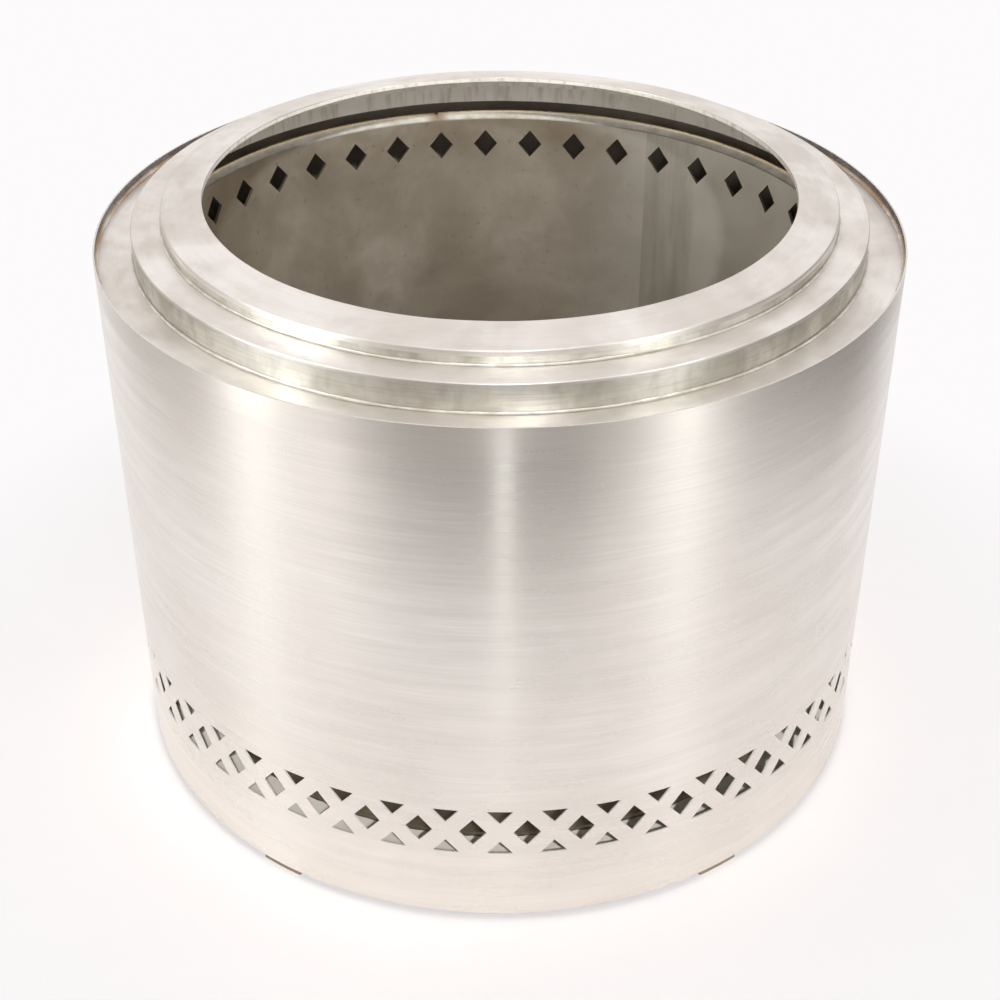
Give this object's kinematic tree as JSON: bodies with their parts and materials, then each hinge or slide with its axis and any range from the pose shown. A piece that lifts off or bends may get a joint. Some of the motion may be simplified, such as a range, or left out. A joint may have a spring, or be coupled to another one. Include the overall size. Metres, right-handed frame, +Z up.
{
  "type": "smokeless fire pit",
  "caption": "Round double-walled stainless fire pit with a stepped collar, a lattice of air openings round its foot, diamond air openings inside its mouth and a lift-out grate.",
  "frame": {"origin": "centre line of the pit at floor level, under the feet", "axes": "+Z up along the centre line, -Y towards the pictured front, +X to the right seen from the front"},
  "size_m": [0.7, 0.7, 0.5325],
  "materials": {
    "outer_wall_steel": "brushed",
    "collar_steel": "ground and brushed",
    "burn_chamber_steel": "mill, unpolished",
    "grate_steel": "hot rolled, dark"
  },
  "bodies": {
    "pit": {"barrel_lip": "burn_chamber_steel", "base_plate": "burn_chamber_steel", "burn_barrel": "burn_chamber_steel", "foot_1": "outer_wall_steel", "foot_2": "outer_wall_steel", "foot_3": "outer_wall_steel", "foot_4": "outer_wall_steel", "lower_collar_band": "collar_steel", "outer_wall": "outer_wall_steel", "shoulder_ring": "collar_steel", "step_ring": "collar_steel", "top_ring": "collar_steel", "upper_collar_band": "collar_steel"},
    "grate": {"fire_bar_01": "grate_steel", "fire_bar_02": "grate_steel", "fire_bar_03": "grate_steel", "fire_bar_04": "grate_steel", "fire_bar_05": "grate_steel", "fire_bar_06": "grate_steel", "fire_bar_07": "grate_steel", "fire_bar_08": "grate_steel", "fire_bar_09": "grate_steel", "fire_bar_10": "grate_steel", "fire_bar_11": "grate_steel", "fire_bar_12": "grate_steel", "grate_leg_back_left": "grate_steel", "grate_leg_back_right": "grate_steel", "grate_leg_front_left": "grate_steel", "grate_leg_front_right": "grate_steel", "grate_runner_left": "grate_steel", "grate_runner_right": "grate_steel"}
  },
  "joints": [
    {"name": "grate_lift", "type": "slide", "parent": "pit", "child": "grate", "axis": [0, 0, 1], "range_m": [0, 0.49]}
  ]
}
